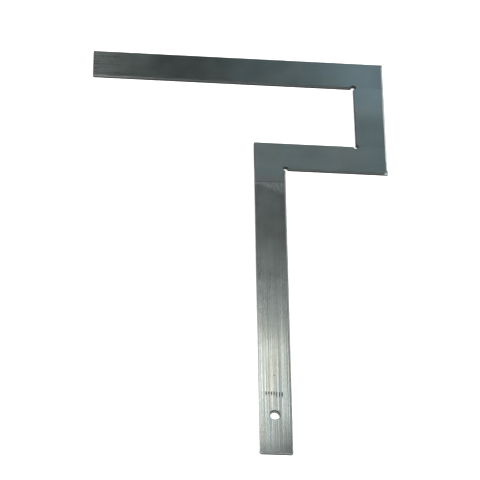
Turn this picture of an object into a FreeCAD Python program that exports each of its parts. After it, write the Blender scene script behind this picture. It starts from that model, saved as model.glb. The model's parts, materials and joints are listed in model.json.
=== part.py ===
import FreeCAD, Part
import os
from FreeCAD import Vector

# A flange square: a flat 90 degree steel square whose blade steps sideways around the rim of a pipe flange.
# Four flat bars are butt-welded edge to edge and dressed flush: a long arm across the top, a short riser
# down from the arm's right end, a shelf back under it, and a long leg down from the shelf's left end.
# It lies flat: X runs along the arm, Y along the leg, Z through the thickness. The origin is the middle
# of the outer rectangle, on the underside. Millimetres.

# Driving dimensions
BAR_WIDTH = 20.0
BAR_THICKNESS = 3.0
ARM_LENGTH = 190.0           # free end to the riser's outer edge
STEP_HEIGHT = 88.0           # arm's upper edge to the shelf's lower edge
SHELF_LENGTH = 86.0          # riser's outer edge to the leg's outer edge
LEG_REACH = 207.0            # shelf's lower edge to the leg's free end

EDGE_BREAK = 0.4             # chamfer along every long edge
LEG_OUTER_CORNER = 1.5       # rounding of the leg's two end corners
LEG_INNER_CORNER = 0.8
ARM_END_CORNER = 0.5

RELIEF_RADIUS = 1.5          # hole drilled through each inner corner, so that a burr or weld clears it

WELD_FACE_WIDTH = 1.6        # seam width at both faces and at mid-thickness: a bevel from each side
WELD_ROOT_WIDTH = 0.6

HANG_HOLE_RADIUS = 3.0
HANG_HOLE_FROM_END = 25.5
HANG_HOLE_FROM_EDGE = 9.5    # from the leg's left edge

MARK_FROM_END = 40.5         # row of plain punched bars across the leg, standing in for a size stamp
MARK_FROM_EDGE = 4.1
MARK_PITCH = 1.6
MARK_BAR_WIDTH = 0.6
MARK_SHORT = 1.9
MARK_LONG = 3.1
MARK_SHORT_COUNT = 4
MARK_LONG_COUNT = 3
MARK_DEPTH = 0.25

PUNCH_FROM_END = 53.0        # single centre-punch dot above the mark
PUNCH_RADIUS = 0.45
PUNCH_DEPTH = 0.3

# Places worked out from the dimensions
TOTAL_HEIGHT = STEP_HEIGHT + LEG_REACH
RIGHT = ARM_LENGTH / 2
LEFT = -RIGHT
TOP = TOTAL_HEIGHT / 2
BOTTOM = -TOP
ARM_LOWER = TOP - BAR_WIDTH
RISER_INNER = RIGHT - BAR_WIDTH
SHELF_LOWER = TOP - STEP_HEIGHT
SHELF_UPPER = SHELF_LOWER + BAR_WIDTH
LEG_LEFT = RIGHT - SHELF_LENGTH
LEG_RIGHT = LEG_LEFT + BAR_WIDTH
INNER_CORNERS = [(RISER_INNER, ARM_LOWER), (RISER_INNER, SHELF_UPPER), (LEG_RIGHT, SHELF_LOWER)]


def slab(x0, y0, x1, y1):
    """A full-thickness rectangular block between two corners."""
    return Part.makeBox(x1 - x0, y1 - y0, BAR_THICKNESS, Vector(x0, y0, 0))


def through_hole(x, y, radius):
    """A cylinder that runs past both faces."""
    return Part.makeCylinder(radius, BAR_THICKNESS + 2, Vector(x, y, -1))


def upright_edge(shape, x, y):
    """The edge through the thickness at one corner of the outline."""
    for edge in shape.Edges:
        ends = [v.Point for v in edge.Vertexes]
        if all(abs(p.x - x) < 1e-6 and abs(p.y - y) < 1e-6 for p in ends):
            return edge
    raise ValueError("no upright edge at %g, %g" % (x, y))


def dressed_outline():
    """The whole flat shape after dressing: corners rounded, long edges broken, corners relieved."""
    corners = [
        (LEFT, TOP), (LEFT, ARM_LOWER), (RISER_INNER, ARM_LOWER), (RISER_INNER, SHELF_UPPER),
        (LEG_LEFT, SHELF_UPPER), (LEG_LEFT, BOTTOM), (LEG_RIGHT, BOTTOM), (LEG_RIGHT, SHELF_LOWER),
        (RIGHT, SHELF_LOWER), (RIGHT, TOP),
    ]
    points = [Vector(x, y, 0) for x, y in corners + corners[:1]]
    shape = Part.Face(Part.makePolygon(points)).extrude(Vector(0, 0, BAR_THICKNESS))
    for radius, x, y in [
        (LEG_OUTER_CORNER, LEG_LEFT, BOTTOM), (LEG_INNER_CORNER, LEG_RIGHT, BOTTOM),
        (ARM_END_CORNER, LEFT, TOP), (ARM_END_CORNER, LEFT, ARM_LOWER),
    ]:
        shape = shape.makeFillet(radius, [upright_edge(shape, x, y)])
    rims = [e for e in shape.Edges if e.BoundBox.ZLength < 1e-6]
    shape = shape.makeChamfer(EDGE_BREAK, rims)
    for x, y in INNER_CORNERS:
        shape = shape.cut(through_hole(x, y, RELIEF_RADIUS))
    return shape


def weld_groove(x0, edge_y, toward):
    """The seam's metal: straight along the through bar, bevelled from both faces into the butted bar."""
    profile = [
        (0, 0), (WELD_FACE_WIDTH, 0), (WELD_ROOT_WIDTH, BAR_THICKNESS / 2),
        (WELD_FACE_WIDTH, BAR_THICKNESS), (0, BAR_THICKNESS), (0, 0),
    ]
    points = [Vector(x0, edge_y + toward * reach, z) for reach, z in profile]
    return Part.Face(Part.makePolygon(points)).extrude(Vector(BAR_WIDTH, 0, 0))


def size_mark():
    """Cutters for the punched bars: short ones first, then long ones, all standing on one line."""
    lengths = [MARK_SHORT] * MARK_SHORT_COUNT + [MARK_LONG] * MARK_LONG_COUNT
    bars = []
    for i, length in enumerate(lengths):
        x = LEG_LEFT + MARK_FROM_EDGE + i * MARK_PITCH
        y = BOTTOM + MARK_FROM_END + MARK_LONG / 2 - length
        corner = Vector(x, y, BAR_THICKNESS - MARK_DEPTH)
        bars.append(Part.makeBox(MARK_BAR_WIDTH, length, MARK_DEPTH + 1, corner))
    return bars


def punch_dot():
    """Cone left by a centre punch on the leg's upper face."""
    x = LEG_LEFT + HANG_HOLE_FROM_EDGE
    tip = Vector(x, BOTTOM + PUNCH_FROM_END, BAR_THICKNESS - PUNCH_DEPTH)
    return Part.makeCone(0, PUNCH_RADIUS, PUNCH_DEPTH, tip)


outline = dressed_outline()
grooves = {
    "arm_riser_weld": weld_groove(RISER_INNER, ARM_LOWER, -1),
    "riser_shelf_weld": weld_groove(RISER_INNER, SHELF_UPPER, 1),
    "shelf_leg_weld": weld_groove(LEG_LEFT, SHELF_LOWER, -1),
}


def arm_bar():
    """The long arm. It runs over the riser's end, and its lower edge is one of the two working edges."""
    return outline.common(slab(LEFT, ARM_LOWER, RIGHT, TOP))


def riser_bar():
    """The short upright between arm and shelf, bevelled at both ends for its two seams."""
    bar = outline.common(slab(RISER_INNER, SHELF_UPPER, RIGHT, ARM_LOWER))
    return bar.cut([grooves["arm_riser_weld"], grooves["riser_shelf_weld"]])


def shelf_bar():
    """The lower side of the step. It runs over the leg's end."""
    return outline.common(slab(LEG_LEFT, SHELF_LOWER, RIGHT, SHELF_UPPER))


def leg_bar():
    """The long leg with its hang hole, punched mark and punch dot. Its left edge is a working edge."""
    bar = outline.common(slab(LEG_LEFT, BOTTOM, LEG_RIGHT, SHELF_LOWER))
    hole = through_hole(LEG_LEFT + HANG_HOLE_FROM_EDGE, BOTTOM + HANG_HOLE_FROM_END, HANG_HOLE_RADIUS)
    return bar.cut([grooves["shelf_leg_weld"], hole, punch_dot()] + size_mark())


nodes = {"arm_bar": arm_bar(), "riser_bar": riser_bar(), "shelf_bar": shelf_bar(), "leg_bar": leg_bar()}
for name, groove in grooves.items():
    nodes[name] = outline.common(groove)

os.makedirs("parts", exist_ok=True)
for name, shape in nodes.items():
    shape = shape.removeSplitter()
    shape.exportStep("parts/" + name + ".step")
    box = shape.BoundBox
    print("%-17s valid %s, %d solid, %8.1f mm3, X %.1f..%.1f, Y %.1f..%.1f, Z %.1f..%.1f" % (
        name, shape.isValid(), len(shape.Solids), shape.Volume,
        box.XMin, box.XMax, box.YMin, box.YMax, box.ZMin, box.ZMax))
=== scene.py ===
import json
import math

import bmesh
import bpy
import numpy as np
from mathutils import Matrix, Vector, noise
from mathutils.geometry import delaunay_2d_cdt


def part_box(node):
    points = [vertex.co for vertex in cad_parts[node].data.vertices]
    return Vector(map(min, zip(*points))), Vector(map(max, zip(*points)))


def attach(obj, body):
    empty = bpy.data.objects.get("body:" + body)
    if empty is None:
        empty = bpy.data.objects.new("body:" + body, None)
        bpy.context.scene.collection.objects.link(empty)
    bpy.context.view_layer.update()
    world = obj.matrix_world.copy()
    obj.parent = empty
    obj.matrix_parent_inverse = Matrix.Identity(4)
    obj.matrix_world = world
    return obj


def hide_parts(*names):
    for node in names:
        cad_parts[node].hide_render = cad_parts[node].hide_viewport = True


# A flange square lying on a pale floor: four flat steel bars joined by ground-flush welds. Each bar and
# weld gets a finely meshed piece with rounded, slightly uneven edges, in place of its plain CAD node.
# Plan shapes are worked out in millimetres; the finished meshes, lights and camera are in metres.

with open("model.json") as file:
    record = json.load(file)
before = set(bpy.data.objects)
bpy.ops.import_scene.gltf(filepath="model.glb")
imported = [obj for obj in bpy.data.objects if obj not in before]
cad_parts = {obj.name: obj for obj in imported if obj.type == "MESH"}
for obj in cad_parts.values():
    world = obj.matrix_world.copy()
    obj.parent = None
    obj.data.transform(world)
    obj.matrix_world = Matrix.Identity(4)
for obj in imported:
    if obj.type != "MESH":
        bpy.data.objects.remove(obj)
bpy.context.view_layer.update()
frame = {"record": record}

MM = 0.001


def box_mm(node):
    """Lowest and highest corner of a CAD node, in millimetres."""
    low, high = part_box(node)
    return low / MM, high / MM


arm_low, arm_high = box_mm("arm_bar")
shelf_low, shelf_high = box_mm("shelf_bar")
leg_low, leg_high = box_mm("leg_bar")
riser_low, _ = box_mm("riser_bar")
seam_low, seam_high = box_mm("arm_riser_weld")

LEFT, RIGHT = arm_low.x, arm_high.x
TOP, ARM_LOWER = arm_high.y, arm_low.y
SHELF_UPPER, SHELF_LOWER = shelf_high.y, shelf_low.y
RISER_INNER = riser_low.x
LEG_LEFT, LEG_RIGHT, BOTTOM = leg_low.x, leg_high.x, leg_low.y
THICKNESS = arm_high.z
SEAM_WIDTH = seam_high.y - seam_low.y

hang_hole = next(m for m in frame["record"]["mounts"] if m["name"] == "hang_hole")
HOLE_X, HOLE_Y = hang_hole["pos_m"][0] / MM, hang_hole["pos_m"][1] / MM
HOLE_RADIUS = hang_hole["dims"]["r_mm"]

# Details that the frame's boxes don't give
RELIEF_RADIUS = 1.5
INNER_CORNERS = [(RISER_INNER, ARM_LOWER), (RISER_INNER, SHELF_UPPER), (LEG_RIGHT, SHELF_LOWER)]
ARM_END_CORNER = 0.5
LEG_OUTER_CORNER = 1.5
LEG_INNER_CORNER = 0.8
EDGE_RADIUS = 0.38           # rounding of the long edges
CRISP_EDGE_RADIUS = 0.2      # the leg's left-hand and end edges
WIDE_EDGE_RADIUS = 1.4       # the more heavily rounded right-hand edges of riser and leg
WIDE_EDGE_ENDS = (1.0, 2.0)  # distances from its ends between which a wide edge grows to full size
WIDE_EDGE_REACH = (2.0, 3.0)  # and distances to either side between which it has faded out
EDGE_UNEVENNESS = 0.3        # share by which the rounding varies, and over what length
EDGE_WAVE_SIZE = 9.0
UNDER_EDGE_RADIUS = 0.1      # the much sharper edges round the underside
FLAT_RING = 0.12             # first ring of points on the flat, just inside the rounding
HOLE_EDGE_RADIUS = 0.14
HOLE_SHADE_WIDTH = 0.25           # painted ring of shade round the hang hole, left out over an angle at its left where light falls
HOLE_SHADE_GAP = math.radians(35)
HOLE_BURR = 0.05             # lip raised around the hang hole, and where it begins, is highest and ends
BURR_START, BURR_CREST, BURR_END = 0.1, 0.4, 1.3
WAVINESS = 0.035             # height of the hand-dressed surface's slow waves, and their size
WAVE_SIZE = 14.0
WAVE_MARGIN = 1.5            # strip inside the rounding over which the waves die out

DRESS_LINE = BOTTOM + 196.0  # where the grinder stopped on the leg, below the shelf weld
DRESS_SLANT = 0.04           # how much that line rises to the right
DRESS_DEPTH = 0.025          # how much metal was taken off above it, and half the width of the step
DRESS_STEP = 0.35
DRESS_END = (SHELF_LOWER - 6, SHELF_LOWER - 2)  # where that hollow runs out towards the weld

MARK_X = LEG_LEFT + 4.1      # row of plain punched bars across the leg, in place of a size stamp
MARK_TOP = BOTTOM + 41.55
MARK_PITCH = 1.6
MARK_BAR_WIDTH = 0.72
MARK_LENGTHS = [2.1] * 4 + [3.2] * 3
MARK_DEPTH = 0.22
MARK_SLOPE = 0.12            # width of each bar's sloping side
MARK_LIP = 0.02              # height and width of the lip that each bar raised
MARK_LIP_WIDTH = 0.16
PUNCH_X, PUNCH_Y = HOLE_X, BOTTOM + 53.0
PUNCH_RADIUS = 0.45
PUNCH_DEPTH = 0.25

OUTLINE_STEP = 1.0           # spacing of points along straight edges, round arcs and inside the faces
ARC_STEP = 0.3
GRID_STEP = 1.3
CLEAR_OF_RINGS = 0.45        # how far grid points keep from rims and rings
RING_ANGLES = [0.0, 22.5, 45.0, 67.5, 90.0]
MITRE_LIMIT = 0.4            # keeps a ring's mitred corners from reaching too far


# ---------------------------------------------------------------- plan of the square

def straight(start, end):
    """Points from start up to, but not including, end."""
    start, end = np.array(start), np.array(end)
    count = max(1, round(np.linalg.norm(end - start) / OUTLINE_STEP))
    return [tuple(start + (end - start) * i / count) for i in range(count)]


def arc(centre, radius, first, last):
    """Points round an arc between two angles in degrees, without the last one."""
    count = max(3, round(math.radians(abs(last - first)) * radius / ARC_STEP))
    angles = [math.radians(first + (last - first) * i / count) for i in range(count)]
    return [(centre[0] + radius * math.cos(a), centre[1] + radius * math.sin(a)) for a in angles]


def outline():
    """The dressed outline, counter-clockwise, with its corners rounded and relieved as in the CAD model."""
    r, end, outer, inner = RELIEF_RADIUS, ARM_END_CORNER, LEG_OUTER_CORNER, LEG_INNER_CORNER
    points = straight((LEFT + end, ARM_LOWER), (RISER_INNER - r, ARM_LOWER))
    points += arc((RISER_INNER, ARM_LOWER), r, 180, -90)
    points += straight((RISER_INNER, ARM_LOWER - r), (RISER_INNER, SHELF_UPPER + r))
    points += arc((RISER_INNER, SHELF_UPPER), r, 90, -180)
    points += straight((RISER_INNER - r, SHELF_UPPER), (LEG_LEFT, SHELF_UPPER))
    points += straight((LEG_LEFT, SHELF_UPPER), (LEG_LEFT, BOTTOM + outer))
    points += arc((LEG_LEFT + outer, BOTTOM + outer), outer, 180, 270)
    points += straight((LEG_LEFT + outer, BOTTOM), (LEG_RIGHT - inner, BOTTOM))
    points += arc((LEG_RIGHT - inner, BOTTOM + inner), inner, 270, 360)
    points += straight((LEG_RIGHT, BOTTOM + inner), (LEG_RIGHT, SHELF_LOWER - r))
    points += arc((LEG_RIGHT, SHELF_LOWER), r, 270, 0)
    points += straight((LEG_RIGHT + r, SHELF_LOWER), (RIGHT, SHELF_LOWER))
    points += straight((RIGHT, SHELF_LOWER), (RIGHT, TOP))
    points += straight((RIGHT, TOP), (LEFT + end, TOP))
    points += arc((LEFT + end, TOP - end), end, 90, 180)
    points += straight((LEFT, TOP - end), (LEFT, ARM_LOWER + end))
    points += arc((LEFT + end, ARM_LOWER + end), end, 180, 270)
    return np.array(points)


def hole_loop():
    """The hang hole's rim, clockwise, so that metal lies to the left of the path as on the outline."""
    return np.array(arc((HOLE_X, HOLE_Y), HOLE_RADIUS, 360, 0))


RIMS = [outline(), hole_loop()]


def rim_distance(points):
    """Distance from each point to the nearest rim of the metal."""
    best = np.full(len(points), 1e9)
    for loop in RIMS:
        starts, ends = loop, np.roll(loop, -1, axis=0)
        for a, b in zip(starts, ends):
            along = np.clip(((points - a) @ (b - a)) / ((b - a) @ (b - a)), 0, 1)
            best = np.minimum(best, np.hypot(*(points - a - along[:, None] * (b - a)).T))
    return best


def in_metal(points):
    """True for points inside the outline and outside the hang hole, by counting crossings to the right."""
    inside = np.zeros(len(points), bool)
    x, y = points[:, 0], points[:, 1]
    for loop in RIMS:
        for (ax, ay), (bx, by) in zip(loop, np.roll(loop, -1, axis=0)):
            if ay == by:
                continue
            crosses = ((ay > y) != (by > y)) & (x < ax + (bx - ax) * (y - ay) / (by - ay))
            inside ^= crosses
    return inside


def smooth(low, high, value):
    """0 below low, 1 above high, and an even S-curve between."""
    t = np.clip((value - low) / (high - low), 0, 1)
    return t * t * (3 - 2 * t)


def wave(points, size, offset):
    """Slow noise in -1..1 at each plan point."""
    return np.array([noise.noise(Vector((x / size, y / size, offset))) for x, y in points])


def edge_radius(points):
    """Rounding radius of the rim near each point: uneven by hand, and wider along two right-hand edges."""
    x, y = points[:, 0], points[:, 1]
    radius = EDGE_RADIUS * (1 + EDGE_UNEVENNESS * wave(points, EDGE_WAVE_SIZE, 2.0))
    start, full = WIDE_EDGE_ENDS
    for edge_x, low, high in [(RIGHT, SHELF_LOWER, TOP), (LEG_RIGHT, BOTTOM, SHELF_LOWER - RELIEF_RADIUS)]:
        length = smooth(low + start, low + full, y) * (1 - smooth(high - full, high - start, y))
        near = 1 - smooth(*WIDE_EDGE_REACH, np.abs(x - edge_x))
        radius = radius + (WIDE_EDGE_RADIUS - EDGE_RADIUS) * length * near
    crisp = (y < SHELF_LOWER - 2) & ((x < LEG_LEFT + 3) | (y < BOTTOM + 1) & (x < LEG_RIGHT - 3))
    radius = np.where(crisp, CRISP_EDGE_RADIUS, radius)
    near_hole = np.hypot(x - HOLE_X, y - HOLE_Y) < HOLE_RADIUS + 2
    return np.where(near_hole, HOLE_EDGE_RADIUS, radius)


def inset(loop, distances):
    """The loop moved into the metal by a distance at each of its points, with mitred corners."""
    back, ahead = loop - np.roll(loop, 1, axis=0), np.roll(loop, -1, axis=0) - loop
    back /= np.linalg.norm(back, axis=1)[:, None]
    ahead /= np.linalg.norm(ahead, axis=1)[:, None]
    normals = np.stack([-back[:, 1] - ahead[:, 1], back[:, 0] + ahead[:, 0]], axis=1)
    normals /= np.linalg.norm(normals, axis=1)[:, None]
    reach = distances / np.clip(normals[:, 0] * -ahead[:, 1] + normals[:, 1] * ahead[:, 0], MITRE_LIMIT, 1)
    return loop + normals * reach[:, None]


def bar_loop(x, y, length, grow):
    """A punched bar's rounded outline in plan, grown or shrunk; its top edge is at y."""
    half = MARK_BAR_WIDTH / 2 + grow
    top, low = y + grow - half, y - length - grow + half
    ends = [((x, top), 0), ((x, low), 180)]
    return np.array([p for centre, first in ends for p in arc(centre, half, first, first + 180)])


def mark_bars():
    """Centre line, top edge and length of each punched bar: they hang from one line."""
    first = MARK_X + MARK_BAR_WIDTH / 2
    return [(first + i * MARK_PITCH, MARK_TOP, length) for i, length in enumerate(MARK_LENGTHS)]


def punch_loop(radius):
    return np.array(arc((PUNCH_X, PUNCH_Y), radius, 360, 0))


def plan_mesh():
    """One triangulation of the whole plan: rings along every rim, rings round the punched marks, the seam
    and dressing lines, and an even grid between. Returns points and triangles."""
    points, edges = [], []

    def add_loop(loop, closed=True):
        first = len(points)
        points.extend(map(tuple, loop))
        edges.extend((first + i, first + i + 1) for i in range(len(loop) - 1))
        if closed:
            edges.append((len(points) - 1, first))

    for rim in RIMS:
        radius = edge_radius(rim)
        for angle in RING_ANGLES:
            add_loop(inset(rim, radius * (1 - math.cos(math.radians(angle)))))
        add_loop(inset(rim, radius + FLAT_RING))
    add_loop(inset(hole_loop(), np.full(len(hole_loop()), HOLE_SHADE_WIDTH)))
    for x, y, length in mark_bars():
        for grow in (MARK_LIP_WIDTH, 0.0, -MARK_SLOPE):
            add_loop(bar_loop(x, y, length, grow))
    for share in (1.35, 1.0, 0.5):
        add_loop(punch_loop(PUNCH_RADIUS * share))
    points.append((PUNCH_X, PUNCH_Y))
    dress_lines = [(LEG_LEFT, LEG_RIGHT, DRESS_LINE + d) for d in (-DRESS_STEP, DRESS_STEP)]
    for x0, x1, y in seam_lines() + dress_lines:
        add_loop(straight((x0 - 1, y), (x1 + 1, y)), closed=False)

    rings = np.array(points)
    xs = np.arange(LEFT + GRID_STEP / 2, RIGHT, GRID_STEP)
    ys = np.arange(BOTTOM + GRID_STEP / 2, TOP, GRID_STEP)
    grid = np.stack(np.meshgrid(xs, ys), axis=-1).reshape(-1, 2)
    grid = grid[in_metal(grid)]
    grid = grid[rim_distance(grid) > edge_radius(grid) + CLEAR_OF_RINGS]
    crowded = np.array([np.min(np.hypot(*(rings - g).T)) < CLEAR_OF_RINGS for g in grid])
    points.extend(map(tuple, grid[~crowded]))

    verts, _, faces, _, _, _ = delaunay_2d_cdt([Vector(p) for p in points], edges, [], 0, 1e-5)
    verts, faces = np.array(verts), np.array(faces)
    return verts, faces[in_metal(verts[faces].mean(axis=1))]


def seam_lines():
    """Both face lines of each weld as (x from, x to, y)."""
    return [
        (RISER_INNER, RIGHT, ARM_LOWER), (RISER_INNER, RIGHT, ARM_LOWER - SEAM_WIDTH),
        (RISER_INNER, RIGHT, SHELF_UPPER), (RISER_INNER, RIGHT, SHELF_UPPER + SEAM_WIDTH),
        (LEG_LEFT, LEG_RIGHT, SHELF_LOWER), (LEG_LEFT, LEG_RIGHT, SHELF_LOWER - SEAM_WIDTH),
    ]


def owner(x, y):
    """The node that a point of the plan belongs to."""
    if y > ARM_LOWER:
        return "arm_bar"
    if y > SHELF_UPPER:
        if y > ARM_LOWER - SEAM_WIDTH:
            return "arm_riser_weld"
        return "riser_shelf_weld" if y < SHELF_UPPER + SEAM_WIDTH else "riser_bar"
    if y > SHELF_LOWER:
        return "shelf_bar"
    return "shelf_leg_weld" if y > SHELF_LOWER - SEAM_WIDTH else "leg_bar"


# ---------------------------------------------------------------- heights

def segment_distance(points, x, y_top, length):
    """Distance from each point to a punched bar's upright centre line."""
    half = MARK_BAR_WIDTH / 2
    nearest = np.clip(points[:, 1], y_top - length + half, y_top - half)
    return np.hypot(points[:, 0] - x, points[:, 1] - nearest)


def mark_depth(points):
    """How far the punched bars and the punch dot sink the upper face, with the small lips they raise."""
    depth = np.zeros(len(points))
    for x, y, length in mark_bars():
        beyond = segment_distance(points, x, y, length) - MARK_BAR_WIDTH / 2
        depth += MARK_DEPTH * (1 - smooth(-MARK_SLOPE, 0.0, beyond))
        depth -= MARK_LIP * smooth(-0.01, 0.0, beyond) * (1 - smooth(0.02, MARK_LIP_WIDTH, beyond))
    away = np.hypot(points[:, 0] - PUNCH_X, points[:, 1] - PUNCH_Y)
    return depth + PUNCH_DEPTH * np.clip(1 - away / PUNCH_RADIUS, 0, 1)


def heights(points):
    """Upper and lower surface at every plan point, in millimetres."""
    distance, radius = rim_distance(points), edge_radius(points)
    reach = np.clip(1 - distance / radius, 0, 1)
    drop = radius * (1 - np.sqrt(1 - reach ** 2))
    inner = smooth(0.0, WAVE_MARGIN, distance - radius)
    waves = WAVINESS * wave(points, WAVE_SIZE, 5.0) * inner
    on_leg = points[:, 1] < SHELF_LOWER
    dressed = DRESS_DEPTH * smooth(DRESS_LINE - DRESS_STEP, DRESS_LINE + DRESS_STEP, points[:, 1])
    dressed *= 1 - smooth(*DRESS_END, points[:, 1])
    from_hole = np.hypot(points[:, 0] - HOLE_X, points[:, 1] - HOLE_Y) - HOLE_RADIUS
    burr = HOLE_BURR * smooth(BURR_START, BURR_CREST, from_hole)
    burr *= 1 - smooth(BURR_CREST, BURR_END, from_hole)
    upper = THICKNESS - drop + waves - dressed * on_leg + burr - mark_depth(points)
    lower = UNDER_EDGE_RADIUS * np.clip(1 - distance / UNDER_EDGE_RADIUS, 0, 1)
    return upper, lower


# ---------------------------------------------------------------- materials

FACE, EDGE, RECESS, MARK = 0, 1, 2, 3

FOOT_HEIGHT = 1.2           # height of the painted contact shadow along the foot of every edge, in millimetres
FOOT_SHADOW_COLOUR = (0.018, 0.02, 0.02)
BORE_COLOUR = (0.2, 0.215, 0.21)
ROUGHNESS = 0.3
BRUSHING_CONTRAST = 2.2
MOTTLE_CONTRAST = 0.45
EDGE_PATCHINESS = 0.6        # how unevenly the edges are worn
SOFT = (0.4, 0.5, 0.1)       # shares of broad, medium and fine lines in the brushing
CRISP = (0.1, 0.55, 0.35)


class Nodes:
    """Small helper that adds shader nodes and links them."""

    def __init__(self, name):
        self.material = bpy.data.materials.new(name)
        self.material.use_nodes = True
        self.tree = self.material.node_tree
        self.shader = self.tree.nodes["Principled BSDF"]
        self.place = self.add("ShaderNodeTexCoord").outputs["Object"]

    def add(self, kind, inputs=(), **settings):
        node = self.tree.nodes.new(kind)
        for key, value in settings.items():
            setattr(node, key, value)
        for key, value in dict(inputs).items():
            self.feed(node.inputs[key], value)
        return node

    def feed(self, socket, value):
        if isinstance(value, bpy.types.NodeSocket):
            self.tree.links.new(value, socket)
        else:
            socket.default_value = value

    def math(self, operation, a, b=0.0):
        return self.add("ShaderNodeMath", {0: a, 1: b}, operation=operation).outputs[0]

    def ramp(self, value, low, high, out_low=0.0, out_high=1.0):
        """Smooth map of value from low..high to out_low..out_high."""
        inputs = {"Value": value, "From Min": low, "From Max": high, "To Min": out_low, "To Max": out_high}
        return self.add("ShaderNodeMapRange", inputs, interpolation_type="SMOOTHSTEP").outputs[0]

    def stretched_noise(self, grain, detail=3.0, shift=0.0):
        """Noise whose grain has that size in metres along each axis."""
        scale = tuple(1 / g for g in grain)
        inputs = {"Vector": self.place, "Scale": scale, "Location": (shift,) * 3}
        mapped = self.add("ShaderNodeMapping", inputs).outputs[0]
        inputs = {"Vector": mapped, "Scale": 1.0, "Detail": detail}
        return self.add("ShaderNodeTexNoise", inputs).outputs["Fac"]

    def blend(self, factor, a, b):
        """Colour between a and b; either may be a socket or three numbers."""
        node = self.tree.nodes.new("ShaderNodeMix")
        node.data_type = "RGBA"
        kinds = {"Factor": "VALUE", "A": "RGBA", "B": "RGBA"}
        for name, value in (("Factor", factor), ("A", a), ("B", b)):
            socket = next(s for s in node.inputs if s.name == name and s.type == kinds[name])
            self.feed(socket, (*value, 1.0) if isinstance(value, tuple) else value)
        return next(s for s in node.outputs if s.type == "RGBA")

    def scaled(self, colour, factor):
        return self.add("ShaderNodeVectorMath", {0: colour, "Scale": factor}, operation="SCALE").outputs[0]

    def profile(self, letter, stops):
        """A factor that changes smoothly along an axis, through stops of (millimetres, factor)."""
        low, high = stops[0][0], stops[-1][0]
        inputs = {"Value": self.axis(letter), "From Min": low * MM, "From Max": high * MM}
        along = self.add("ShaderNodeMapRange", inputs).outputs[0]
        ramp = self.add("ShaderNodeValToRGB", {"Fac": along})
        ramp.color_ramp.interpolation = "EASE"
        for place, factor in stops[1:-1]:
            ramp.color_ramp.elements.new((place - low) / (high - low))
        for element, (place, factor) in zip(ramp.color_ramp.elements, stops):
            element.color = (factor, factor, factor, 1)
        return ramp.outputs["Color"]

    def axis(self, letter):
        parts = self.add("ShaderNodeSeparateXYZ", {"Vector": self.place})
        return parts.outputs[letter]

    def dressing_line(self):
        """How far a point of the leg lies above the slightly slanting, uneven dressing line, in metres."""
        slant = self.math("MULTIPLY", self.math("SUBTRACT", self.axis("X"), LEG_LEFT * MM), DRESS_SLANT)
        uneven = self.math("SUBTRACT", self.stretched_noise((0.003,) * 3), 0.5)
        ragged = self.math("MULTIPLY", uneven, 0.8 * MM)
        offset = self.math("ADD", self.math("ADD", slant, ragged), DRESS_LINE * MM)
        return self.math("SUBTRACT", self.axis("Y"), offset)

    def ground_wedge(self, line):
        """The pale wedge just below the dressing line, reaching further down towards the right."""
        reach = self.ramp(self.axis("X"), LEG_LEFT * MM, LEG_RIGHT * MM, 2.5 * MM, 11.0 * MM)
        below = self.math("SUBTRACT", 0.0, line)
        fade = self.math("DIVIDE", below, reach)
        flecks = self.ramp(self.stretched_noise((0.0008, 0.003, 0.0008), shift=4.0), 0.35, 0.65, 0.5, 1.3)
        begins, ends = self.ramp(below, 0.0, 1.0 * MM), self.ramp(fade, 0.5, 1.1, 1.0, 0.0)
        return self.math("MULTIPLY", self.math("MULTIPLY", begins, ends), flecks)


def plated_steel(name, colours, along, shares, streaks, tone):
    """Dull zinc-plated steel. along is "X" or "Y", the way it was brushed, and shares are how much of the
    brushing is broad, medium and fine. colours, streaks and tone are functions that return its darkest and
    lightest colour, how strong the brushing is, and how pale the metal is over the surface (painted light
    and shade)."""
    n = Nodes(name)

    def grain(width, length):
        return (length, width, width) if along == "X" else (width, length, width)

    strength = streaks(n)
    broad = n.stretched_noise(grain(0.0013, 0.16), shift=3.1)
    medium = n.stretched_noise(grain(0.0005, 0.09), detail=2.0, shift=7.7)
    fine = n.stretched_noise(grain(0.00045, 0.0025), detail=3.0, shift=1.3)
    mottle = n.stretched_noise((0.011, 0.011, 0.011), detail=5.0)

    lines = n.math("ADD", n.math("MULTIPLY", broad, shares[0]), n.math("MULTIPLY", medium, shares[1]))
    lines = n.math("ADD", lines, n.math("MULTIPLY", fine, shares[2]))
    gain = n.math("MULTIPLY", strength, BRUSHING_CONTRAST)
    contrast = n.math("MULTIPLY", n.math("SUBTRACT", lines, 0.5), gain)
    patches = n.math("MULTIPLY", n.math("SUBTRACT", mottle, 0.5), MOTTLE_CONTRAST)
    shade = n.math("ADD", n.math("ADD", contrast, patches), 0.5)
    colour = n.blend(n.ramp(shade, 0.0, 1.0), *colours(n))
    # the tone scales the colour: painted light and shade over the bar
    n.feed(n.shader.inputs["Base Color"], n.scaled(colour, tone(n)))
    n.shader.inputs["Metallic"].default_value = 1.0

    rough_lines = n.math("MULTIPLY", n.math("SUBTRACT", medium, 0.5), n.math("MULTIPLY", strength, -0.25))
    rough = n.math("ADD", n.math("ADD", rough_lines, n.math("MULTIPLY", mottle, 0.08)), ROUGHNESS - 0.04)
    n.feed(n.shader.inputs["Roughness"], rough)

    relief = n.math("MULTIPLY", n.math("ADD", fine, n.math("MULTIPLY", medium, 1.5)), strength)
    brushed = n.add("ShaderNodeBump", {"Height": relief, "Strength": 0.4, "Distance": 0.00002})
    pits = n.stretched_noise((0.0016, 0.0016, 0.0016), detail=6.0, shift=5.0)
    inputs = {"Height": pits, "Strength": 0.25, "Distance": 0.00004, "Normal": brushed.outputs[0]}
    n.feed(n.shader.inputs["Normal"], n.add("ShaderNodeBump", inputs).outputs[0])
    return n.material


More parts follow.
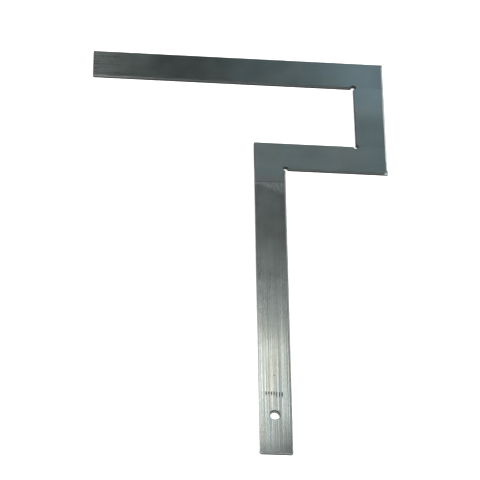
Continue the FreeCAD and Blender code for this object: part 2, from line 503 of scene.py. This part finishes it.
def edge_steel(name, dull, bright, share):
    """The sheared and rounded edges, with a painted contact shadow at the foot. share is a function that
    returns the painted highlight on the edge, from 0 to 1."""
    n = Nodes(name)
    wear = n.stretched_noise((0.006, 0.006, 0.0012), detail=5.0, shift=2.0)
    uneven = n.math("MULTIPLY", n.math("SUBTRACT", wear, 0.5), EDGE_PATCHINESS)
    amount = n.math("ADD", share(n), uneven)
    wall = n.blend(n.ramp(amount, 0.0, 1.0), dull, bright)
    # painted contact shadow: the wall's foot is darkened, except where the edge's painted highlight is
    # brightest
    above_foot = n.ramp(n.axis("Z"), FOOT_HEIGHT * MM, (FOOT_HEIGHT + 0.3) * MM)
    unshadowed = n.math("MAXIMUM", above_foot, n.ramp(amount, 0.6, 0.9))
    n.feed(n.shader.inputs["Base Color"], n.blend(unshadowed, FOOT_SHADOW_COLOUR, wall))
    n.shader.inputs["Metallic"].default_value = 1.0
    n.feed(n.shader.inputs["Roughness"], n.ramp(wear, 0.3, 0.7, 0.34, 0.5))
    scuffs = n.stretched_noise((0.0022, 0.0022, 0.0004), detail=4.0)
    bump = n.add("ShaderNodeBump", {"Height": scuffs, "Strength": 0.4, "Distance": 0.00005})
    n.feed(n.shader.inputs["Normal"], bump.outputs[0])
    return n.material


def recess_steel(name, dark, light):
    """Painted shade for recesses: darkened metal, less dark on the wall of the hang hole."""
    n = Nodes(name)
    recess_speckle = n.stretched_noise((0.0006, 0.0006, 0.0006), detail=4.0)
    below_rim = n.ramp(n.axis("Z"), (THICKNESS - 0.9) * MM, (THICKNESS - 0.5) * MM, 1.0, 0.0)
    near_end = n.ramp(n.axis("Y"), (HOLE_Y + 5) * MM, (HOLE_Y + 10) * MM, 1.0, 0.0)
    in_bore = n.math("MULTIPLY", below_rim, near_end)
    n.feed(n.shader.inputs["Base Color"], n.blend(in_bore, n.blend(recess_speckle, dark, light), BORE_COLOUR))
    n.shader.inputs["Metallic"].default_value = 0.8
    n.feed(n.shader.inputs["Roughness"], n.ramp(recess_speckle, 0.3, 0.7, 0.4, 0.65))
    bump = n.add("ShaderNodeBump", {"Height": recess_speckle, "Strength": 0.4, "Distance": 0.00005})
    n.feed(n.shader.inputs["Normal"], bump.outputs[0])
    return n.material


def arm_streaks(n):
    """The smooth head has almost no brushing, except near the arm's free end."""
    return n.ramp(n.axis("X"), (LEFT + 10) * MM, (LEFT + 60) * MM, 0.75, 0.06)


def faint_streaks(n):
    """On the riser and the shelf the brushing can hardly be seen."""
    return n.ramp(n.axis("Y"), SHELF_LOWER * MM, TOP * MM, 0.12, 0.06)


def leg_streaks(n):
    """Brushing along the leg's lower half, weaker at its very end."""
    begins = n.ramp(n.axis("Y"), (BOTTOM + 110) * MM, (BOTTOM + 165) * MM, 1.0, 0.25)
    return n.math("MULTIPLY", begins, n.ramp(n.axis("Y"), BOTTOM * MM, (BOTTOM + 15) * MM, 0.7, 1.0))


def arm_painted_shading(n):
    """Painted light and shade: the arm is palest at its free end and darkest about a third of the way
    along.
    """
    stops = [
        (LEFT, 1.06), (LEFT + 26, 0.99), (LEFT + 58, 0.69), (LEFT + 79, 0.75), (LEFT + 100, 0.87),
        (LEFT + 130, 0.91), (LEFT + 175, 0.98), (RIGHT, 0.82),
    ]
    return n.profile("X", stops)


def riser_painted_shading(n):
    """Painted shade: the riser is darkest a little above the shelf."""
    stops = [(SHELF_LOWER, 0.9), (SHELF_UPPER + 18, 0.8), (ARM_LOWER - 15, 1.0), (TOP, 1.0)]
    return n.profile("Y", stops)


def shelf_painted_shading(n):
    """Painted light: the shelf is paler towards the leg."""
    stops = [(LEG_LEFT, 1.12), (LEG_LEFT + 20, 0.99), (RISER_INNER - 30, 0.92), (RIGHT, 0.93)]
    return n.profile("X", stops)


def shaded_corner(n):
    """Painted shade: 1 in the leg's lower right-hand corner, painted darker and bluish, fading to 0 round
    it.
    """
    across = n.ramp(n.axis("X"), (LEG_LEFT + 5) * MM, LEG_RIGHT * MM)
    return n.math("MULTIPLY", across, n.ramp(n.axis("Y"), BOTTOM * MM, (BOTTOM + 32) * MM, 1.0, 0.0))


def leg_finish_and_painted_shading(n):
    """Painted light and shade along the leg, darkest below the dressing line, with a painted highlight
    further down; the ground finish above the line and in the wedge below it is paler.
    """
    stops = [
        (BOTTOM, 0.64), (BOTTOM + 11, 0.84), (BOTTOM + 60, 0.86), (BOTTOM + 70, 0.94), (BOTTOM + 90, 0.72),
        (BOTTOM + 110, 0.715), (BOTTOM + 125, 0.62), (BOTTOM + 155, 0.6), (DRESS_LINE - 10, 0.635),
        (SHELF_LOWER, 0.67),
    ]
    line = n.dressing_line()
    above = n.ramp(line, -0.2 * MM, 0.2 * MM)
    groove = n.math("SUBTRACT", 1.0, n.ramp(n.math("ABSOLUTE", line), 0.1 * MM, 0.6 * MM))
    tone = n.math("ADD", n.profile("Y", stops), n.math("MULTIPLY", above, 0.33))
    tone = n.math("ADD", tone, n.math("MULTIPLY", n.ground_wedge(line), 0.4))
    # painted shade in the leg's lower right-hand corner
    tone = n.math("MULTIPLY", tone, n.math("SUBTRACT", 1.0, n.math("MULTIPLY", shaded_corner(n), 0.4)))
    # painted shade: slightly darker towards the leg's right-hand edge
    tone = n.math("MULTIPLY", tone, n.ramp(n.axis("X"), LEG_LEFT * MM, LEG_RIGHT * MM, 1.08, 0.96))
    return n.math("MULTIPLY", tone, n.math("SUBTRACT", 1.0, n.math("MULTIPLY", groove, 0.16)))


COOL_DARK, COOL_LIGHT = (0.37, 0.465, 0.475), (0.53, 0.66, 0.69)
WARM_DARK, WARM_LIGHT = (0.405, 0.465, 0.45), (0.575, 0.66, 0.64)
GROUND_DARK, GROUND_LIGHT = (0.42, 0.46, 0.47), (0.54, 0.58, 0.6)
LEG_DARK = (0.345, 0.4, 0.395)
# the last of these is the bluish colour of the painted shade in the leg's lower right-hand corner
LEG_COOL, LEG_WARM, LEG_CORNER_SHADE = (0.75, 0.81, 0.81), (0.84, 0.84, 0.77), (0.68, 0.77, 0.82)


def head_colours(n):
    """The plating's faint patches, cooler towards the upper right-hand corner."""
    patches = n.ramp(n.stretched_noise((0.025,) * 3, detail=3.0, shift=6.0), 0.3, 0.7, -0.5, 0.5)
    right = n.ramp(n.axis("X"), (LEFT + 40) * MM, (RISER_INNER - 10) * MM, 0.15, 1.0)
    upper = n.ramp(n.axis("Y"), (SHELF_UPPER + 15) * MM, ARM_LOWER * MM, 0.35, 1.0)
    cool = n.math("ADD", n.math("MULTIPLY", right, upper), patches)
    return n.blend(cool, WARM_DARK, COOL_DARK), n.blend(cool, WARM_LIGHT, COOL_LIGHT)


def leg_colours(n):
    """Cool and warm patches on the leg's brushed half; above the dressing line it was ground, and it
    turns to the head's colour towards the weld."""
    line = n.dressing_line()
    above = n.ramp(line, -0.2 * MM, 0.2 * MM)
    near_weld = n.ramp(line, 3.0 * MM, 7.0 * MM)
    ground_dark = n.blend(near_weld, GROUND_DARK, COOL_DARK)
    ground_light = n.blend(near_weld, GROUND_LIGHT, COOL_LIGHT)
    patchy = n.ramp(n.stretched_noise((0.008, 0.05, 0.008), detail=4.0, shift=9.0), 0.42, 0.6)
    lower = n.ramp(n.axis("Y"), (BOTTOM + 70) * MM, (BOTTOM + 105) * MM, 1.0, 0.0)
    pale = n.blend(n.math("MULTIPLY", patchy, lower), LEG_COOL, LEG_WARM)
    # painted shade: bluish in the leg's lower right-hand corner
    pale = n.blend(shaded_corner(n), pale, LEG_CORNER_SHADE)
    return n.blend(above, LEG_DARK, ground_dark), n.blend(above, pale, ground_light)


def head_edge_highlight(n):
    """Painted highlight on the edges: bright down the head's right-hand side, most near the shelf, a little
    along the arm's working edge near its free end, and very slightly round the shelf."""
    x, y = n.axis("X"), n.axis("Y")
    right = n.ramp(x, (RIGHT - 3) * MM, (RIGHT - 1.6) * MM)
    right = n.math("MULTIPLY", right, n.ramp(y, SHELF_LOWER * MM, TOP * MM, 0.8, 0.55))
    right = n.math("MULTIPLY", right, n.ramp(y, SHELF_LOWER * MM, (SHELF_LOWER + 1.5) * MM, 0.8, 1.0))
    free_end = n.ramp(x, (LEFT + 5) * MM, (LEFT + 60) * MM, 0.27, 0.0)
    working_edge = n.ramp(y, (ARM_LOWER + 1) * MM, (ARM_LOWER + 3) * MM, 1.0, 0.0)
    free_end = n.math("MULTIPLY", free_end, working_edge)
    low_part = n.ramp(y, SHELF_UPPER * MM, ARM_LOWER * MM, 0.05, 0.0)
    return n.math("ADD", n.math("MAXIMUM", right, free_end), low_part)


def leg_edge_highlight(n):
    """Painted highlight: the leg's edges brighten towards its free end, the left-hand one most."""
    lower = n.ramp(n.axis("Y"), (BOTTOM + 70) * MM, (BOTTOM + 140) * MM, 1.0, 0.2)
    left = n.ramp(n.axis("X"), (LEG_LEFT + 1) * MM, (LEG_LEFT + 2) * MM, 1.0, 0.15)
    above_end = n.ramp(n.axis("Y"), (BOTTOM + 1) * MM, (BOTTOM + 3) * MM, 0.35, 1.0)
    return n.math("MULTIPLY", n.math("MULTIPLY", lower, left), above_end)


def make_materials():
    return {
        "arm": plated_steel("arm_plated_steel", head_colours, "X", SOFT, arm_streaks, arm_painted_shading),
        "riser": plated_steel("riser_plated_steel", head_colours, "Y", SOFT, faint_streaks, riser_painted_shading),
        "shelf": plated_steel("shelf_plated_steel", head_colours, "X", SOFT, faint_streaks, shelf_painted_shading),
        "leg": plated_steel("leg_brushed_steel", leg_colours, "Y", CRISP, leg_streaks, leg_finish_and_painted_shading),
        # the recess and mark steels are darkened metal: painted shade in drillings, reliefs and punched
        # marks
        "recess": recess_steel("drilled_dark_steel", (0.008, 0.009, 0.009), (0.05, 0.054, 0.053)),
        "mark": recess_steel("punched_dark_steel", (0.06, 0.065, 0.063), (0.16, 0.17, 0.165)),
        # the two edge steels take a painted highlight on the edges from their share functions
        "head_edge": edge_steel("head_edge_steel", (0.055, 0.062, 0.061), (0.4, 0.43, 0.42), head_edge_highlight),
        "leg_edge": edge_steel("leg_edge_steel", (0.135, 0.145, 0.143), (0.5, 0.52, 0.5), leg_edge_highlight),
    }


# ---------------------------------------------------------------- pieces

SHARP_ANGLE = math.radians(38)  # faces that meet at more than this stay creased
RELIEF_SHADE = 0.3           # share of the rounding at a drilled relief given painted shade


def build_piece(name, verts, faces, upper, lower, kind):
    """One closed piece: its share of the upper and lower surfaces, and walls round its border."""
    used = np.unique(faces)
    index = {v: i for i, v in enumerate(used)}
    mesh = bmesh.new()
    tops = [mesh.verts.new((verts[v][0] * MM, verts[v][1] * MM, upper[v] * MM)) for v in used]
    lows = [mesh.verts.new((verts[v][0] * MM, verts[v][1] * MM, lower[v] * MM)) for v in used]
    borders = {}
    for face, material in zip(faces, kind):
        a, b, c = (index[v] for v in face)
        mesh.faces.new((tops[a], tops[b], tops[c])).material_index = material
        mesh.faces.new((lows[c], lows[b], lows[a])).material_index = min(material, EDGE)
        for edge in ((a, b), (b, c), (c, a)):
            if edge[::-1] in borders:
                del borders[edge[::-1]]
            else:
                borders[edge] = material
    for (a, b), material in borders.items():
        mesh.faces.new((tops[b], tops[a], lows[a], lows[b])).material_index = max(material, EDGE)
    bmesh.ops.recalc_face_normals(mesh, faces=mesh.faces)
    for face in mesh.faces:
        face.smooth = True
    for edge in mesh.edges:
        edge.smooth = edge.calc_face_angle(0) < SHARP_ANGLE
    data = bpy.data.meshes.new(name)
    mesh.to_mesh(data)
    mesh.free()
    piece = bpy.data.objects.new(name, data)
    bpy.context.collection.objects.link(piece)
    return piece


def face_kinds(verts, faces):
    """FACE on the flats, EDGE round the rims, RECESS (painted shade) in the drillings, and MARK (painted
    shade) in the punched marks.
    """
    centres = verts[faces].mean(axis=1)
    distance, radius = rim_distance(centres), edge_radius(centres)
    kinds = np.where(distance < radius, EDGE, FACE)
    from_hole = np.hypot(centres[:, 0] - HOLE_X, centres[:, 1] - HOLE_Y) - HOLE_RADIUS
    from_left = np.abs(np.arctan2(centres[:, 1] - HOLE_Y, HOLE_X - centres[:, 0]))
    # painted shade: the hang hole's rim and a dark ring round it, narrower over an angle at its left where
    # light falls
    kinds[from_hole < np.where(from_left > HOLE_SHADE_GAP, HOLE_SHADE_WIDTH, radius)] = RECESS
    # painted shade in the rounding at the drilled reliefs
    for x, y in INNER_CORNERS:
        from_corner = np.hypot(centres[:, 0] - x, centres[:, 1] - y)
        kinds[(kinds == EDGE) & (from_corner < RELIEF_RADIUS + RELIEF_SHADE * radius)] = RECESS
    # painted shade in the punched marks
    for x, y, length in mark_bars():
        kinds[segment_distance(centres, x, y, length) < MARK_BAR_WIDTH / 2] = MARK
    kinds[np.hypot(centres[:, 0] - PUNCH_X, centres[:, 1] - PUNCH_Y) < PUNCH_RADIUS] = MARK
    return kinds


def build_pieces():
    materials = make_materials()
    looks = {
        "arm_bar": ("arm", "head_edge", "head_steel"),
        "riser_bar": ("riser", "head_edge", "head_steel"),
        "shelf_bar": ("shelf", "head_edge", "head_steel"),
        "leg_bar": ("leg", "leg_edge", "leg_steel"),
        "arm_riser_weld": ("riser", "head_edge", "weld_steel"),
        "riser_shelf_weld": ("riser", "head_edge", "weld_steel"),
        "shelf_leg_weld": ("leg", "leg_edge", "weld_steel"),
    }
    verts, faces = plan_mesh()
    upper, lower = heights(verts)
    kinds = face_kinds(verts, faces)
    owners = np.array([owner(x, y) for x, y in verts[faces].mean(axis=1)])
    for node, (face_look, edge_look, record_slot) in looks.items():
        mine = owners == node
        piece = build_piece(node + "_finished", verts, faces[mine], upper, lower, kinds[mine])
        for look in (face_look, edge_look, "recess", "mark"):
            piece.data.materials.append(materials[look])
        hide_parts(node)
        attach(piece, "root")


# ---------------------------------------------------------------- floor, light and camera

FLOOR_SIZE = 8.0
FLOOR_GAP = 0.05             # millimetres between the floor and the square
FLOOR_GLOW = 0.4             # the floor is a faintly lit panel, so that shadows on it stay pale
HORIZON = 1.0                # brightness of the surroundings at the horizon and overhead
OVERHEAD = 0.0
CARD_HEIGHT = 0.4            # metres above the square's underside


def make_floor():
    """A plain pale floor just under the square."""
    mesh = bmesh.new()
    bmesh.ops.create_grid(mesh, x_segments=8, y_segments=8, size=FLOOR_SIZE / 2)
    data = bpy.data.meshes.new("floor")
    mesh.to_mesh(data)
    mesh.free()
    floor = bpy.data.objects.new("floor", data)
    floor.location.z = -FLOOR_GAP * MM
    bpy.context.collection.objects.link(floor)
    n = Nodes("pale_floor")
    cloud = n.stretched_noise((0.4, 0.4, 0.4), detail=2.0)
    n.feed(n.shader.inputs["Base Color"], n.blend(cloud, (0.86, 0.86, 0.86), (0.9, 0.9, 0.9)))
    n.shader.inputs["Roughness"].default_value = 0.9
    n.shader.inputs["Specular IOR Level"].default_value = 0.1
    n.shader.inputs["Emission Color"].default_value = (1, 1, 1, 1)
    n.shader.inputs["Emission Strength"].default_value = FLOOR_GLOW
    data.materials.append(n.material)


def area_light(name, place, target, size, radiance, colour=(1, 1, 1)):
    """A rectangular soft light at place, facing target, with an even radiance."""
    data = bpy.data.lights.new(name, "AREA")
    data.shape = "RECTANGLE"
    data.size, data.size_y = size
    data.energy = radiance * math.pi * size[0] * size[1]
    data.color = colour
    light = bpy.data.objects.new(name, data)
    light.location = place
    light.rotation_euler = (Vector(target) - Vector(place)).to_track_quat("-Z", "Y").to_euler()
    light.visible_camera = False
    bpy.context.collection.objects.link(light)


def make_world():
    """Soft surroundings, pale at the horizon and dim overhead."""
    world = bpy.data.worlds.new("studio")
    world.use_nodes = True
    tree = world.node_tree
    direction = tree.nodes.new("ShaderNodeTexCoord")
    parts = tree.nodes.new("ShaderNodeSeparateXYZ")
    fade = tree.nodes.new("ShaderNodeMapRange")
    fade.interpolation_type = "SMOOTHSTEP"
    limits = {"From Min": 0.1, "From Max": 0.45, "To Min": HORIZON, "To Max": OVERHEAD}
    for socket, value in limits.items():
        fade.inputs[socket].default_value = value
    background = tree.nodes["Background"]
    background.inputs["Color"].default_value = (0.95, 0.98, 1.0, 1)
    tree.links.new(direction.outputs["Generated"], parts.inputs[0])
    tree.links.new(parts.outputs["Z"], fade.inputs["Value"])
    tree.links.new(fade.outputs[0], background.inputs["Strength"])
    bpy.context.scene.world = world


def card(name, x, y, size, radiance, colour):
    """A small dim light hung level over or beside the square, for its faces and edges to mirror."""
    area_light(name, (x, y, CARD_HEIGHT), (x, y, 0), size, radiance, colour)


def make_lights():
    area_light("key_left", (-1.2, -1.1, 2.2), (0, 0, 0), (1.3, 1.3), 13.0)
    area_light("key_right", (1.4, -1.0, 2.1), (0, 0, 0), (1.3, 1.3), 12.0)
    area_light("edge_light", (1.5, 1.0, 0.9), (0, 0, 0), (0.9, 0.9), 3.5)
    card("leg_card", 0.067, 0.135, (0.16, 0.09), 2.6, (1.0, 1.0, 0.95))
    card("shelf_card", 0.067, 0.36, (0.16, 0.06), 0.32, (0.9, 1.0, 1.0))
    card("arm_end_card", -0.18, 0.46, (0.09, 0.12), 2.2, (1.02, 1.0, 0.97))
    card("arm_card", 0.06, 0.46, (0.15, 0.12), 0.07, (0.9, 1.0, 1.0))
    card("riser_card", 0.18, 0.46, (0.09, 0.12), 0.85, (0.8, 0.98, 1.1))
    card("edge_card", 0.42, 0.3, (0.16, 0.3), 1.5, (1.0, 1.0, 1.0))
    bpy.context.scene.view_settings.view_transform = "Standard"


CAMERA_AZIMUTH = -8.74
CAMERA_ELEVATION = 55.29
CAMERA_ROLL = 9.74
CAMERA_DISTANCE = 1.5212
CAMERA_TARGET = (-0.0009, 0.0029, 0.003)
CAMERA_LENS = 183.27
CAMERA_SENSOR = 36.0


def make_camera():
    azimuth, elevation = math.radians(CAMERA_AZIMUTH), math.radians(CAMERA_ELEVATION)
    level = math.cos(elevation)
    back = Vector((math.sin(azimuth) * level, -math.cos(azimuth) * level, math.sin(elevation)))
    data = bpy.data.cameras.new("camera")
    data.lens, data.sensor_width = CAMERA_LENS, CAMERA_SENSOR
    data.clip_start, data.clip_end = 0.05, 20.0
    camera = bpy.data.objects.new("camera", data)
    roll = Matrix.Rotation(math.radians(CAMERA_ROLL), 3, "Z")
    camera.rotation_euler = ((-back).to_track_quat("-Z", "Y").to_matrix() @ roll).to_euler()
    camera.location = Vector(CAMERA_TARGET) + back * CAMERA_DISTANCE
    bpy.context.collection.objects.link(camera)
    bpy.context.scene.camera = camera


make_camera()
build_pieces()
make_floor()
make_world()
make_lights()
